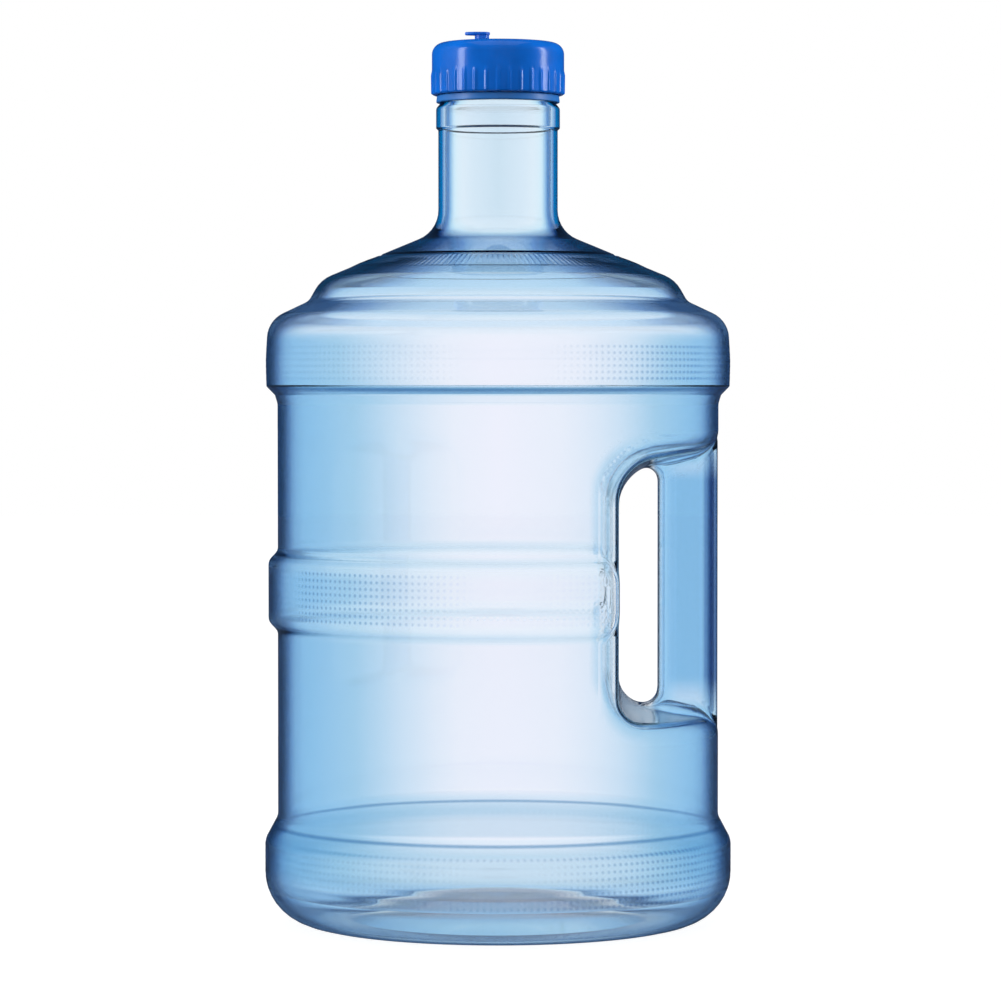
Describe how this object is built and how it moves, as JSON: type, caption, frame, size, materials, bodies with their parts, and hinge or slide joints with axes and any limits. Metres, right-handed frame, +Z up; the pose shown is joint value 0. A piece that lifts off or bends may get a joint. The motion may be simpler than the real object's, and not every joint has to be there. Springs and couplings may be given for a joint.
{
  "type": "water jug",
  "caption": "Translucent blow-moulded water jug with a bottle neck, a handle moulded through its side, a ribbed screw cap and a small vent plug.",
  "frame": {"origin": "on the jug's axis, at the height of the foot ring that it stands on", "axes": "+Z up along the bottle's axis; +X towards the handle; the finger slot runs along Y"},
  "size_m": [0.215, 0.215, 0.4103],
  "materials": {
    "clear_blue_polycarbonate": "clear, glossy, blue-tinted, with pressed dot bands",
    "cap_blue": "semi-gloss moulded",
    "ring_blue": "semi-gloss moulded",
    "seal_white": "matte foamed"
  },
  "bodies": {
    "jug": {"bottle": "clear_blue_polycarbonate", "tamper_ring": "ring_blue"},
    "liner": {"sealing_liner": "seal_white"},
    "cap": {"cap": "cap_blue"},
    "plug": {"vent_plug": "cap_blue"}
  },
  "joints": [
    {"name": "liner_lift", "type": "slide", "parent": "jug", "child": "liner", "axis": [0, 0, 1], "range_m": [0, 0.0271]},
    {"name": "cap_turn", "type": "hinge", "parent": "liner", "child": "cap", "pos_m": [0, 0, 0.39], "axis": [0, 0, 1], "range_deg": [0, 810]},
    {"name": "vent_lift", "type": "slide", "parent": "cap", "child": "plug", "axis": [0, 0, 1], "range_m": [0, 0.009]}
  ],
  "couplings": [
    {"joint": "liner_lift", "follows": "cap_turn", "m_per_rad": 0.0019099}
  ]
}
